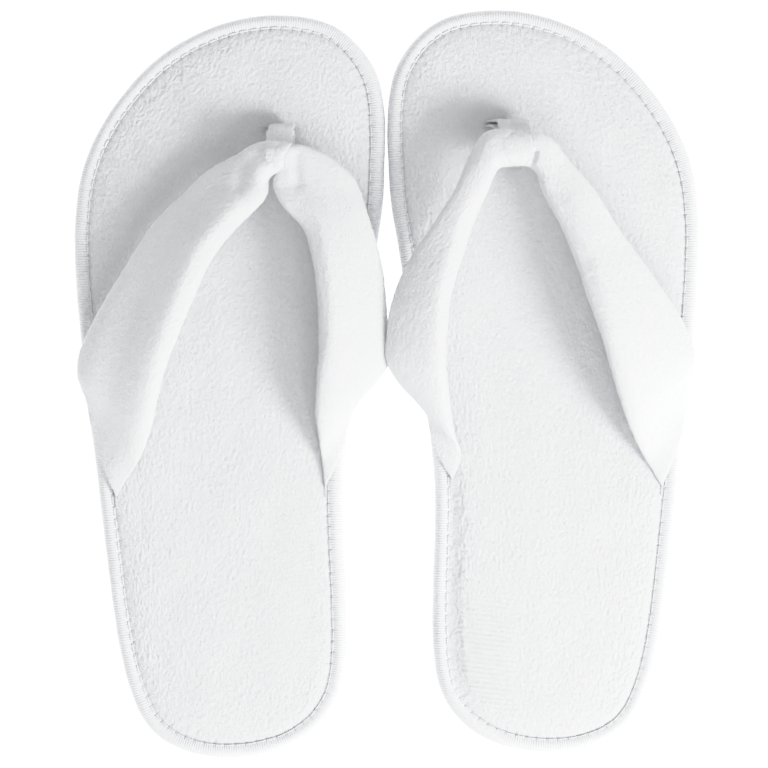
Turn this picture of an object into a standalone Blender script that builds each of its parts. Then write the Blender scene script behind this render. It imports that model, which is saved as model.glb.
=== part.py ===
"""A pair of thong spa slippers.

Each slipper is an EVA outsole, a foam pad and a fleece insole cover, bound together round the edge by a
folded tape that a thread holds. A padded strap in two arms rises from the sides of the sole, and its arms
meet over the toes in a fabric loop, whose post goes down between the toes and is glued under the pad.

Lengths are in millimetres until a mesh is made. Each slipper is shaped as a right one about its own centre,
toes towards +Y and the outer side towards +X, and the left one is its mirror image.
"""

import math

import bmesh
import bpy
from mathutils import Matrix, Vector

MM = 0.001
GAP = 0.3  # left between pieces that lie against each other

# The right sole seen from above, from the tip of the toes round by the outer side
SOLE_OUTLINE = [
    (-14, 136.5), (13, 129), (33, 114), (50, 89), (56, 62), (49, -32), (38, -109), (28, -126),
    (7, -134), (-22, -129), (-38, -112), (-41, -28), (-53, 45), (-57, 74), (-55, 114), (-40, 132),
]
OUTLINE_POINTS = 52

# How the two slippers stand beside each other: the sole's centre and its turn, in degrees
SIDES = {
    "right": {"mirror": 1, "centre": (57.85, -0.15), "turn": 0.0},
    "left": {"mirror": -1, "centre": (-57.05, -2.15), "turn": 0.8},
}

# Heights above the floor
OUTSOLE_TOP = 3.6
FOAM_TOP = 8.0
COVER_TOP = 10.5
RIM_UNDER = 1.6  # underside of the outsole where the tape wraps it
COVER_RIM_UNDER = 6.3
COVER_RIM_TOP = 8.3

# The sole's rim, as insets from the tape's outer surface
LAYER_INSET = 1.4
RIM_ROUND = 1.3
LIP_INSET = 5.6
STITCH_INSET = 4.6

# The tape's section, as inset and height
TAPE_OUTSIDE = [(5.6, 0.3), (1.8, 0.3), (0.0, 2.4), (0.0, 7.5), (1.8, 9.6), (5.6, 9.6)]
TAPE_INSIDE = [(5.6, 8.6), (2.3, 8.6), (1.0, 7.0), (1.0, 2.9), (2.3, 1.3), (5.6, 1.3)]
TAPE_TOP = 9.6
THREAD_RADIUS = 0.35

# The strap's roots, sewn in under the tape: the back and front end of each, along the foot
ARM_SIDES = {"outer": 1, "inner": -1}
ROOTS = {
    ("right", "outer"): (-38.0, -4.0), ("right", "inner"): (-36.0, -12.0),
    ("left", "outer"): (-38.5, -4.0), ("left", "inner"): (-37.0, -5.0),
}
# The root's way out of the rim: inset, height and thickness
ROOT_STEPS = [(3.0, 7.85, 0.9), (6.2, 7.85, 0.9), (6.9, 8.8, 1.0), (7.0, 11.0, 1.6)]
POCKET_INSETS = (1.2, 8.6)
POCKET_FLOOR = 7.1
POCKET_END_ROOM = 2.0

# Each arm above the sole, at stations towards the toes: ridge edge, outer edge and padded thickness
ARMS = {
    ("right", "outer"): [
        ((37.5, -29.5, 13), (51.5, -1, 12.5), 3.0),
        ((30, -17.5, 21), (53, 7.5, 14), 6.5),
        ((22.7, 1.6, 31), (50.9, 18.6, 15.8), 9.0),
        ((17.5, 18, 34.5), (43.5, 31, 17), 9.0),
        ((12, 36, 34), (31.5, 48.5, 18.5), 9.0),
        ((4, 56, 31), (17, 70, 21.3), 8.5),
        ((-1.5, 68, 29), (6.4, 81.3, 23.5), 8.0),
    ],
    ("right", "inner"): [
        ((-32, -26, 13), (-45, -8, 12.5), 3.0),
        ((-34, -13, 22), (-53.5, 3.5, 14.5), 6.5),
        ((-35, 5, 31.5), (-55.4, 13, 16), 9.0),
        ((-35, 24, 34), (-54.4, 31, 17), 9.0),
        ((-30.7, 45, 33), (-47.8, 47.8, 18.5), 9.0),
        ((-24.3, 62.5, 30.5), (-36, 67, 23.5), 9.0),
        ((-20.8, 72, 28.8), (-29, 80.5, 25.5), 8.5),
    ],
    ("left", "outer"): [
        ((37, -31, 13), (52.2, -1, 12.5), 3.0),
        ((30, -19.5, 21.5), (54.5, 6, 14), 6.5),
        ((24.3, -2.5, 30.5), (53.4, 15.2, 15.5), 9.0),
        ((17, 18.7, 34.3), (44.3, 33.5, 17), 9.0),
        ((8, 39.5, 34.7), (32, 52.5, 17.7), 9.0),
        ((-4.4, 57.3, 32), (16.6, 70.5, 19), 9.0),
        ((-12.3, 66, 29.8), (3.5, 80.5, 21), 8.5),
    ],
    ("left", "inner"): [
        ((-33, -26, 13), (-46.5, -3, 12.5), 3.0),
        ((-32, -13.5, 21.5), (-53.5, 5.5, 14.5), 6.5),
        ((-32, 4.9, 29.5), (-55.7, 15.8, 16), 9.0),
        ((-32.5, 25, 31.7), (-55.4, 35.5, 17.5), 9.0),
        ((-31, 45.2, 31.8), (-54.2, 52.2, 19.3), 9.0),
        ((-26.5, 60, 29.5), (-50, 66, 20.5), 9.0),
        ((-26, 70, 27), (-42, 79.5, 22.5), 8.5),
    ],
}
ARM_STEPS = 2  # rings from one station to the next
SECTION_POINTS = 12
SECTION_SQUARENESS = 2.5
COVER_WALL = 1.2
HOLLOW_FROM_RING = 6  # the fabric is a flat double layer before this ring

# The middle of the toe loop round the arms' ends
LOOPS = {"right": (-11.8, 84.7, 26.0), "left": (-19.6, 83.0, 26.0)}
LOOP_WIDTH = 9.0
ARM_END = (10.3, 8.0)  # the arms' section in the loop
LOOP_WALL = 1.8
LOOP_ARC_POINTS = 16
POST_X = -18.0
POST_BACK, POST_FRONT = 91.5, 96.5
POST_FREE_FROM = 10.8  # below this height the post stands upright in the sole
POST_BENDS = [(95.4, 17.0), (90.2, 15.5)]  # its front and back, halfway up to the loop
TAIL_REACH = 11.0
TAIL_TOP = 5.3

TACK_SIZE = (0.9, 6.0, 0.9)
TACK_INSET, TACK_HEIGHT = 6.45, 9.35
TACK_BACK = 3.6  # behind the end of the root's pocket

COLOURS = {
    "outsole": ((0.84, 0.84, 0.85), 0.6),
    "foam": ((0.86, 0.85, 0.80), 0.85),
    "fleece": ((0.88, 0.88, 0.90), 0.95),
    "tape": ((0.86, 0.87, 0.89), 0.75),
    "thread": ((0.80, 0.80, 0.82), 0.7),
    "padding": ((0.85, 0.84, 0.80), 0.9),
}


# Curves and sections


def rounded_outline(points, steps):
    """A smooth closed curve through the points, with its pace set by the distance between them."""
    points = [Vector(p) for p in points]
    count = len(points)
    curve = []
    for i in range(count):
        before, start, end, after = (points[(i + k) % count] for k in (-1, 0, 1, 2))
        paces = [math.sqrt((b - a).length) for a, b in ((before, start), (start, end), (end, after))]
        leave = (start - before) / paces[0] - (end - before) / (paces[0] + paces[1])
        leave = (leave + (end - start) / paces[1]) * paces[1]
        arrive = (end - start) / paces[1] - (after - start) / (paces[1] + paces[2])
        arrive = (arrive + (after - end) / paces[2]) * paces[1]
        curve += [hermite(start, leave, end, arrive, k / steps) for k in range(steps)]
    return curve


def hermite(start, leave, end, arrive, t):
    """The point at t on the cubic between two points with the given speeds."""
    return (
        start * (2 * t**3 - 3 * t**2 + 1)
        + leave * (t**3 - 2 * t**2 + t)
        + end * (3 * t**2 - 2 * t**3)
        + arrive * (t**3 - t**2)
    )


def evenly_spaced(curve, count):
    """The closed curve again as this many points, the same distance apart."""
    lengths = [(curve[(i + 1) % len(curve)] - p).length for i, p in enumerate(curve)]
    pace = sum(lengths) / count
    spaced, walked = [], 0.0
    for i, length in enumerate(lengths):
        while len(spaced) < count and len(spaced) * pace <= walked + length:
            part = (len(spaced) * pace - walked) / length
            spaced.append(curve[i].lerp(curve[(i + 1) % len(curve)], part))
        walked += length
    return spaced


def inset_ring(ring, distance):
    """A closed clockwise ring moved inwards by a distance."""
    moved = []
    for i, point in enumerate(ring):
        along = (ring[(i + 1) % len(ring)] - ring[i - 1]).normalized()
        moved.append(point + Vector((along.y, -along.x)) * distance)
    return moved


OUTLINE = evenly_spaced(rounded_outline(SOLE_OUTLINE, 24), OUTLINE_POINTS)
FINE_OUTLINE = evenly_spaced(rounded_outline(SOLE_OUTLINE, 24), 4 * OUTLINE_POINTS)


def rim_point(side, along, inset, height):
    """The point this far along the foot on one side of the sole, inset from its edge."""
    ring = [p for p in inset_ring(FINE_OUTLINE, inset) if p.x * side > 0]
    nearest = min(ring, key=lambda p: abs(p.y - along))
    return Vector((nearest.x, along, height))


def superellipse(width, height, count):
    """A rounded rectangle about the origin."""
    power = 2 / SECTION_SQUARENESS
    ring = []
    for k in range(count):
        turn = 2 * math.pi * (k + 0.5) / count
        across, up = math.cos(turn), math.sin(turn)
        ring.append(
            (
                math.copysign(abs(across) ** power, across) * width / 2,
                math.copysign(abs(up) ** power, up) * height / 2,
            )
        )
    return ring


# Making objects


def new_collection(name):
    collection = bpy.data.collections.new(name)
    bpy.context.scene.collection.children.link(collection)
    return collection


def fabric_material(name, kind):
    colour, roughness = COLOURS[kind]
    material = bpy.data.materials.new(name)
    material.use_nodes = True
    shader = material.node_tree.nodes["Principled BSDF"]
    shader.inputs["Base Color"].default_value = (*colour, 1)
    shader.inputs["Roughness"].default_value = roughness
    shader.inputs["Metallic"].default_value = 0
    return material


class Slipper:
    """One slipper's frame, and how a piece made in millimetres is placed in it."""

    def __init__(self, side, parts, cutters):
        setting = SIDES[side]
        self.side = side
        self.mirror = setting["mirror"]
        self.parts = parts
        self.cutters = cutters
        self.frame = bpy.data.objects.new(side + "_slipper_frame", None)
        self.frame.location = (setting["centre"][0] * MM, setting["centre"][1] * MM, 0)
        self.frame.rotation_euler.z = math.radians(setting["turn"])
        parts.objects.link(self.frame)

    def place(self, name, mesh, collection):
        """An object for a mesh in millimetres, mirrored for the left slipper."""
        mesh.transform(Matrix.Diagonal((self.mirror * MM, MM, MM, 1)))
        shape = bmesh.new()
        shape.from_mesh(mesh)
        bmesh.ops.remove_doubles(shape, verts=shape.verts, dist=0.001 * MM)
        bmesh.ops.recalc_face_normals(shape, faces=shape.faces)
        shape.to_mesh(mesh)
        shape.free()
        placed = bpy.data.objects.new(f"{self.side}_{name}", mesh)
        placed.parent = self.frame
        collection.objects.link(placed)
        return placed

    def piece(self, name, mesh, kind, smooth_angle=35):
        placed = self.place(name, mesh, self.parts)
        placed.data.shade_smooth()
        placed.data.set_sharp_from_angle(angle=math.radians(smooth_angle))
        placed.data.materials.append(fabric_material(placed.name, kind))
        return placed

    def cut(self, target, name, mesh):
        """Take a cutter's shape out of a piece."""
        cutter = self.place(name, mesh, self.cutters)
        cutter.hide_render = True
        cutter.display_type = "WIRE"
        boolean = target.modifiers.new(name, "BOOLEAN")
        boolean.operation = "DIFFERENCE"
        boolean.solver = "EXACT"
        boolean.object = cutter


def mesh_of(name, build):
    """A mesh filled by a function that works on a bmesh."""
    shape = bmesh.new()
    build(shape)
    mesh = bpy.data.meshes.new(name)
    shape.to_mesh(mesh)
    shape.free()
    return mesh


def mesh_of_curve(curve):
    """The mesh that a curve's bevel or extrusion makes."""
    carrier = bpy.data.objects.new(curve.name, curve)
    bpy.context.scene.collection.objects.link(carrier)
    graph = bpy.context.evaluated_depsgraph_get()
    mesh = bpy.data.meshes.new_from_object(carrier.evaluated_get(graph))
    bpy.data.objects.remove(carrier)
    return mesh


def closed_spline(curve, points):
    """A closed run of straight pieces through 3-D points."""
    spline = curve.splines.new("POLY")
    spline.points.add(len(points) - 1)
    for knot, point in zip(spline.points, points):
        knot.co = (*point, 1)
    spline.use_cyclic_u = True


def block(low, high):
    """A box between two corners."""

    def build(shape):
        size = Vector(high) - Vector(low)
        middle = (Vector(high) + Vector(low)) / 2
        matrix = Matrix.Translation(middle) @ Matrix.Diagonal((*size, 1))
        bmesh.ops.create_cube(shape, size=1, matrix=matrix)

    return mesh_of("block", build)


# The sole


def sole_layer(name, edge_bottom, edge_top, bottom_steps, top_steps):
    """A plate with the sole's outline, whose faces step inwards and up or down from its edge."""

    def build(shape):
        ring = inset_ring(OUTLINE, LAYER_INSET)
        bottom = shape.faces.new([shape.verts.new((p.x, p.y, edge_bottom)) for p in ring])
        bottom.normal_update()
        raised = bmesh.ops.extrude_face_region(shape, geom=[bottom], use_keep_orig=True)
        bmesh.ops.translate(
            shape,
            verts=[v for v in raised["geom"] if isinstance(v, bmesh.types.BMVert)],
            vec=(0, 0, edge_top - edge_bottom),
        )
        top = next(f for f in raised["geom"] if isinstance(f, bmesh.types.BMFace))
        bmesh.ops.recalc_face_normals(shape, faces=shape.faces)
        for face, steps in ((bottom, bottom_steps), (top, top_steps)):
            for inset, out in steps:
                bmesh.ops.inset_region(shape, faces=[face], thickness=inset, depth=out, use_even_offset=True)

    return mesh_of(name, build)


def outsole():
    """The EVA sole: its tread stands below the rim that the tape wraps."""
    rim = RIM_UNDER + RIM_ROUND
    steps = [(RIM_ROUND, RIM_ROUND), (4.3, 0), (0.4, RIM_UNDER)]
    return sole_layer("outsole", rim, OUTSOLE_TOP, steps, [])


def foam_pad():
    """The foam under the insole, thinner at the rim where the tape squeezes it."""
    bottom = OUTSOLE_TOP + GAP
    rim = COVER_RIM_UNDER - GAP
    return sole_layer("foam", bottom, rim, [], [(8.4, 0), (3.5, FOAM_TOP - rim)])


def insole_cover():
    """The fleece top, drawn down over the foam's edge to the rim."""
    under = [(8.1, 0), (3.5, COVER_RIM_UNDER - FOAM_TOP - GAP)]
    edge_top = COVER_RIM_TOP - 1.4
    over = [(RIM_ROUND, 1.4), (3.9, 0), (1.8, 1.5), (4.1, COVER_TOP - COVER_RIM_TOP - 1.5)]
    return sole_layer("cover", COVER_RIM_UNDER, edge_top, under, over)


def edge_tape():
    """The binding: one section carried round the outline, open towards the sole."""
    profile = bpy.data.curves.new("tape_profile", "CURVE")
    closed_spline(profile, [(inset, height, 0) for inset, height in TAPE_OUTSIDE + TAPE_INSIDE])
    section = bpy.data.objects.new("tape_profile", profile)
    bpy.context.scene.collection.objects.link(section)
    path = bpy.data.curves.new("tape", "CURVE")
    path.dimensions = "3D"
    path.twist_mode = "Z_UP"
    path.bevel_mode = "OBJECT"
    path.bevel_object = section
    closed_spline(path, [(p.x, p.y, 0) for p in OUTLINE])
    mesh = mesh_of_curve(path)
    bpy.data.objects.remove(section)
    return mesh


def stitching():
    """The thread that runs round the tape's upper lip."""
    path = bpy.data.curves.new("thread", "CURVE")
    path.dimensions = "3D"
    path.bevel_depth = THREAD_RADIUS
    path.bevel_resolution = 0
    height = TAPE_TOP + GAP + THREAD_RADIUS
    closed_spline(path, [(p.x, p.y, height) for p in inset_ring(OUTLINE, STITCH_INSET)])
    return mesh_of_curve(path)


def root_pocket(side, arm):
    """The room in the insole cover for a root of the strap, open upwards."""

    def build(shape):
        back, front = ROOTS[side, arm]
        ends = (back - POCKET_END_ROOM, front + POCKET_END_ROOM)
        corners = [rim_point(ARM_SIDES[arm], y, POCKET_INSETS[0], POCKET_FLOOR) for y in ends]
        corners += [rim_point(ARM_SIDES[arm], y, POCKET_INSETS[1], POCKET_FLOOR) for y in reversed(ends)]
        floor = shape.faces.new([shape.verts.new(c) for c in corners])
        raised = bmesh.ops.extrude_face_region(shape, geom=[floor], use_keep_orig=True)
        bmesh.ops.translate(
            shape,
            verts=[v for v in raised["geom"] if isinstance(v, bmesh.types.BMVert)],
            vec=(0, 0, COVER_TOP),
        )

    return mesh_of("pocket", build)


# The strap


def smooth_step(value, low, high):
    t = min(max((value - low) / (high - low), 0), 1)
    return t * t * (3 - 2 * t)


def arm_stations(side, arm):
    """Ridge edge, outer edge and thickness along a whole arm, from its root to its end in the toe loop."""
    back, front = ROOTS[side, arm]
    stations = [
        (
            rim_point(ARM_SIDES[arm], back, inset, height),
            rim_point(ARM_SIDES[arm], front, inset, height),
            thickness,
        )
        for inset, height, thickness in ROOT_STEPS
    ]
    free = [(Vector(ridge), Vector(outer), thickness) for ridge, outer, thickness in ARMS[side, arm]]
    x, y, z = LOOPS[side]
    width, thickness = ARM_END
    for distance in (LOOP_WIDTH / 2 + 0.5, 0.2):
        end_x = x + ARM_SIDES[arm] * distance
        ends = Vector((end_x, y - width / 2, z)), Vector((end_x, y + width / 2, z))
        free.append((*ends, thickness))
    return stations + between_stations(free)


def between_stations(stations):
    """The stations with smooth steps between them, and none inside the toe loop."""
    rings = []
    last = len(stations) - 1
    for i in range(last - 1):
        four = [stations[k] for k in (max(i - 1, 0), i, i + 1, i + 2)]
        for step in range(ARM_STEPS):
            t = step / ARM_STEPS
            edges = [
                hermite(four[1][e], (four[2][e] - four[0][e]) / 2, four[2][e], (four[3][e] - four[1][e]) / 2, t)
                for e in (0, 1)
            ]
            rings.append((*edges, four[1][2] + (four[2][2] - four[1][2]) * t))
    return rings + stations[last - 1 :]


def section_ring(stations, index, shrink):
    """The arm's section at a station, made smaller all round by an amount."""
    ridge, outer, thickness = stations[index]
    middles = [(s[0] + s[1]) / 2 for s in stations]
    ahead = middles[min(index + 1, len(stations) - 1)] - middles[max(index - 1, 0)]
    across = outer - ridge
    upwards = across.cross(ahead).normalized()
    along = across.normalized()
    flat = superellipse(across.length - 2 * shrink, thickness - 2 * shrink, SECTION_POINTS)
    return [middles[index] + along * a + upwards * b for a, b in flat]


def add_tube(shape, rings, caps):
    """Skin a run of rings, and close its first and last ring where asked."""
    loops = [[shape.verts.new(p) for p in ring] for ring in rings]
    for one, two in zip(loops, loops[1:]):
        for i in range(len(one)):
            shape.faces.new((one[i - 1], one[i], two[i], two[i - 1]))
    for loop, capped in zip((loops[0], loops[-1]), caps):
        if capped:
            shape.faces.new(loop)
    return loops


def strap_cover(stations):
    """The fleece tube of an arm, flat at its root and open at the toe loop."""

    def build(shape):
        outside = [section_ring(stations, i, 0) for i in range(len(stations))]
        hollow = range(HOLLOW_FROM_RING, len(stations))
        inside = [section_ring(stations, i, COVER_WALL) for i in hollow]
        outer = add_tube(shape, outside, (True, False))
        inner = add_tube(shape, inside, (True, False))
        for i in range(SECTION_POINTS):
            shape.faces.new((outer[-1][i - 1], outer[-1][i], inner[-1][i], inner[-1][i - 1]))

    return mesh_of("strap_cover", build)


def strap_padding(stations):
    """The foam that fills an arm's tube."""

    def build(shape):
        filled = range(HOLLOW_FROM_RING, len(stations))
        rings = [section_ring(stations, i, COVER_WALL + GAP) for i in filled]
        rings[0] = [a.lerp(b, 0.2) for a, b in zip(rings[0], rings[1])]
        rings[-1] = [a.lerp(b, 0.1) for a, b in zip(rings[-1], rings[-2])]
        add_tube(shape, rings, (True, True))

    return mesh_of("strap_padding", build)


# The toe loop


def loop_outline(centre):
    """The loop, its post and its two glued tails, seen from the side: along the foot and up."""
    y, z = centre[1:]
    width, thickness = (size + 2 * (GAP + LOOP_WALL) for size in ARM_END)
    ring = superellipse(width, thickness, LOOP_ARC_POINTS)
    front = (math.pi * -0.28, POST_BENDS[0])
    back = (math.pi * -0.62, POST_BENDS[1])
    head = [
        (y + a, z + b)
        for a, b in ring
        if not back[0] < math.atan2(b, a) < front[0]
    ]
    head.sort(key=lambda p: (math.atan2(p[1] - z, p[0] - y) - front[0]) % (2 * math.pi))
    bottom = OUTSOLE_TOP + GAP
    post = [back[1], (POST_BACK, POST_FREE_FROM), (POST_BACK, TAIL_TOP)]
    post += [(POST_BACK - TAIL_REACH, TAIL_TOP), (POST_BACK - TAIL_REACH, bottom)]
    post += [(POST_FRONT + TAIL_REACH, bottom), (POST_FRONT + TAIL_REACH, TAIL_TOP)]
    post += [(POST_FRONT, TAIL_TOP), (POST_FRONT, POST_FREE_FROM), front[1]]
    return head + post


def toe_loop(centre):
    """The folded fabric loop: an outline with the arms' hole, as thick as the loop is wide."""
    outline = bpy.data.curves.new("toe_loop", "CURVE")
    outline.dimensions = "2D"
    outline.fill_mode = "BOTH"
    outline.extrude = LOOP_WIDTH / 2
    closed_spline(outline, [(a, b, 0) for a, b in loop_outline(centre)])
    x, y, z = centre
    hole = superellipse(*(size + 2 * GAP for size in ARM_END), SECTION_POINTS)
    closed_spline(outline, [(y + a, z + b, 0) for a, b in hole])
    mesh = mesh_of_curve(outline)
    for vertex in mesh.vertices:
        along, height, across = vertex.co
        sideways = (x - POST_X) * smooth_step(height, POST_FREE_FROM, z - 6)
        vertex.co = (POST_X + across + sideways, along, height)
    return mesh


def post_slot():
    half = LOOP_WIDTH / 2 + GAP
    return block((POST_X - half, POST_BACK - GAP, 0.5), (POST_X + half, POST_FRONT + GAP, 20))


def tail_pocket():
    half = LOOP_WIDTH / 2 + GAP
    reach = TAIL_REACH + GAP
    low = (POST_X - half, POST_BACK - reach, 0.5)
    return block(low, (POST_X + half, POST_FRONT + reach, TAIL_TOP + GAP))


def tack(side, arm):
    """The bar of thread that locks the strap's rear corner to the insole."""
    along = ROOTS[side, arm][0] - POCKET_END_ROOM - TACK_BACK
    middle = rim_point(ARM_SIDES[arm], along, TACK_INSET, TACK_HEIGHT)
    half = Vector(TACK_SIZE) / 2
    return block(middle - half, middle + half)


def make_slipper(side, parts, cutters):
    """All the pieces of one slipper."""
    slipper = Slipper(side, parts, cutters)
    slipper.piece("outsole", outsole(), "outsole")
    foam = slipper.piece("foam_pad", foam_pad(), "foam")
    slipper.cut(foam, "foam_slot", post_slot())
    slipper.cut(foam, "tail_pocket", tail_pocket())
    cover = slipper.piece("insole_cover", insole_cover(), "fleece")
    slipper.cut(cover, "cover_slot", post_slot())
    slipper.piece("edge_binding", edge_tape(), "tape")
    slipper.piece("edge_stitching", stitching(), "thread", 60)
    for arm in ARM_SIDES:
        slipper.cut(cover, arm + "_pocket", root_pocket(side, arm))
        stations = arm_stations(side, arm)
        slipper.piece(arm + "_strap_cover", strap_cover(stations), "fleece", 60)
        slipper.piece(arm + "_strap_padding", strap_padding(stations), "padding", 60)
        sewn = slipper.piece(arm + "_strap_tack", tack(side, arm), "thread", 60)
        rounding = sewn.modifiers.new("rounded", "BEVEL")
        rounding.width = 0.25 * MM
        rounding.segments = 1
    slipper.piece("toe_loop", toe_loop(LOOPS[side]), "fleece", 50)


def main():
    for existing in list(bpy.data.objects):
        bpy.data.objects.remove(existing)
    parts = new_collection("spa_slippers")
    cutters = new_collection("cutters")
    for side in SIDES:
        make_slipper(side, parts, cutters)


main()
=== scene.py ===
"""A pair of thong spa slippers in white fleece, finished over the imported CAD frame.

Lengths are in millimetres until a mesh is made. Each slipper is shaped as a right one about its own centre,
toes towards +Y and the outer side towards +X, and the left one is its mirror image. The fleece, the ribs of
the tape and the stitches are real geometry, and the materials add the fibres.
"""

import math

import bmesh
import bpy
import numpy as np
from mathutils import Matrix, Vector
from mathutils.kdtree import KDTree


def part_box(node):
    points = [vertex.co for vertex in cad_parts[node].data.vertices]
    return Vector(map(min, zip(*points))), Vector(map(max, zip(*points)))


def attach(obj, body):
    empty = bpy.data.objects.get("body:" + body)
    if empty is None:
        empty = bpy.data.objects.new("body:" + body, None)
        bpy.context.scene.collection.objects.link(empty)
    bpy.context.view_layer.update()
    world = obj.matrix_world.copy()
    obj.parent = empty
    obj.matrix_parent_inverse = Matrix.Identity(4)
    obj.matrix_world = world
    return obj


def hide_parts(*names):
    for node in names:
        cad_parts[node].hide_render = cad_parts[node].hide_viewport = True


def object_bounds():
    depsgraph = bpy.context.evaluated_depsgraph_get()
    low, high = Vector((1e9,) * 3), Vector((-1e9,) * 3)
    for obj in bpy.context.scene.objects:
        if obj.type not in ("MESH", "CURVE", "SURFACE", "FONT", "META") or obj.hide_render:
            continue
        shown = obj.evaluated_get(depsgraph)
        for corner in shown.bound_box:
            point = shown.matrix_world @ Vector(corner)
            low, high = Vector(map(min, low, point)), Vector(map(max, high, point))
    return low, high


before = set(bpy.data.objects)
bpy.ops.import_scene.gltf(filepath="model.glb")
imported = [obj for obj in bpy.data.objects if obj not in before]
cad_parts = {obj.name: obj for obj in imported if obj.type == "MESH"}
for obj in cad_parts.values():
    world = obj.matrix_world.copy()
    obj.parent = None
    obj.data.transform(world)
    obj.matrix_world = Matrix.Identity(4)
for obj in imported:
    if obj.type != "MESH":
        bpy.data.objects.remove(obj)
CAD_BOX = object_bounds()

MM = 0.001

# The right sole seen from above, from the tip of the toes round by the outer side
SOLE_OUTLINE = [
    (-14, 136.5), (13, 129), (33, 114), (50, 89), (56, 62), (49, -32), (38, -109), (28, -126),
    (7, -134), (-22, -129), (-38, -112), (-41, -28), (-53, 45), (-57, 74), (-55, 114), (-40, 132),
]
SIDES = {"right": {"mirror": 1, "turn": 0.0, "seed": 11}, "left": {"mirror": -1, "turn": 0.8, "seed": 57}}

# Profiles of the outsole and the insole cover, as inset from the sole's edge and height above the floor
TREAD_PROFILE = [(5.6, 1.6), (6.0, 0.35), (6.4, 0.0)]  # its underside steps up where the tape wraps it
OUTSOLE_TOP = [(1.5, 2.9), (1.9, 3.3), (9.0, 3.6)]
INSOLE_UNDER = [(2.7, 6.3), (9.5, 6.3), (13.0, 8.3)]
INSOLE_RISE = [  # its top, as it comes out from under the tape and rises to its crown
    (2.7, 7.9), (4.6, 8.05), (5.2, 8.7), (5.7, 9.15), (6.5, 9.55), (8.0, 9.95), (11.0, 10.36), (18.0, 10.74),
    (34.0, 11.0),
]
# The meshes of the soles: the insets of their rings, and the shares of the rim that an end and a side of the
# patch inside them take
OUTSOLE_RINGS = [2.9, 5.6, 6.0, 6.3, 7.0, 9.3, 9.9, 10.3, 10.7, 11.2]
INSOLE_RINGS = [2.7, 3.6, 4.6, 5.2, 5.7, 6.2, 6.7, 7.2, 7.8, 8.5]
PATCH_END, PATCH_SIDE = 0.17, 0.355
TREAD_DEPTH, TREAD_PITCH = 0.5, 5.2
PUCKER_DEPTH = 0.5  # how far each stitch pulls the insole down beside the tape

# The tape's section, as inset and height, clockwise from its upper lip
TAPE_SECTION = [
    (5.55, 8.65), (5.4, 9.05), (4.9, 9.35), (4.1, 9.7), (3.3, 9.98), (2.5, 10.05), (1.7, 9.7), (1.0, 9.0),
    (0.35, 7.6), (0.0, 5.0), (0.1, 3.5), (0.5, 2.2), (1.2, 1.2), (2.2, 0.55), (3.6, 0.3), (5.3, 0.35),
    (5.6, 0.8), (4.8, 1.25), (2.6, 1.3), (1.4, 2.6), (1.0, 4.8), (1.4, 7.2), (2.6, 8.3), (4.8, 8.5),
]
TAPE_OUTER_POINTS = 17  # those of its section that are the ribbed outside
RIB_PITCH, RIB_SAMPLES, RIB_DEPTH = 0.92, 5, 0.38  # the tape's ribs, and the mesh's points to a rib
RIB_OF_KNIT = 1.75
KNIT_DEPTH = {"right": 0.3, "left": 0.07}
STITCH_PITCH, STITCH_INSET, STITCH_HEIGHT = 4.2, 5.1, 9.66
THREAD_RADIUS = 0.2

# The strap's roots, sewn in under the tape: the back and front end of each, along the foot
ROOTS = {
    ("right", "outer"): (-36.8, -4.0), ("right", "inner"): (-34.5, -12.0),
    ("left", "outer"): (-38.5, -4.0), ("left", "inner"): (-36.0, -5.0),
}
ARM_SIDES = {"outer": 1, "inner": -1}
# The root's way out from under the tape and up over its lip: the insets of its ridge edge and its outer edge,
# its height and its thickness
ROOT_STEPS = [(3.0, 3.0, 7.95, 0.8), (6.3, 6.2, 8.3, 1.0), (6.9, 5.9, 9.8, 1.2), (6.6, 1.6, 10.5, 1.8)]
ROOT_BOW = 2.4  # how far the root bulges out over the tape between its ends
ROOT_FLAT, ROOT_TURNED = 12.0, 34.0  # along the arm: where its face stops being level

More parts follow.
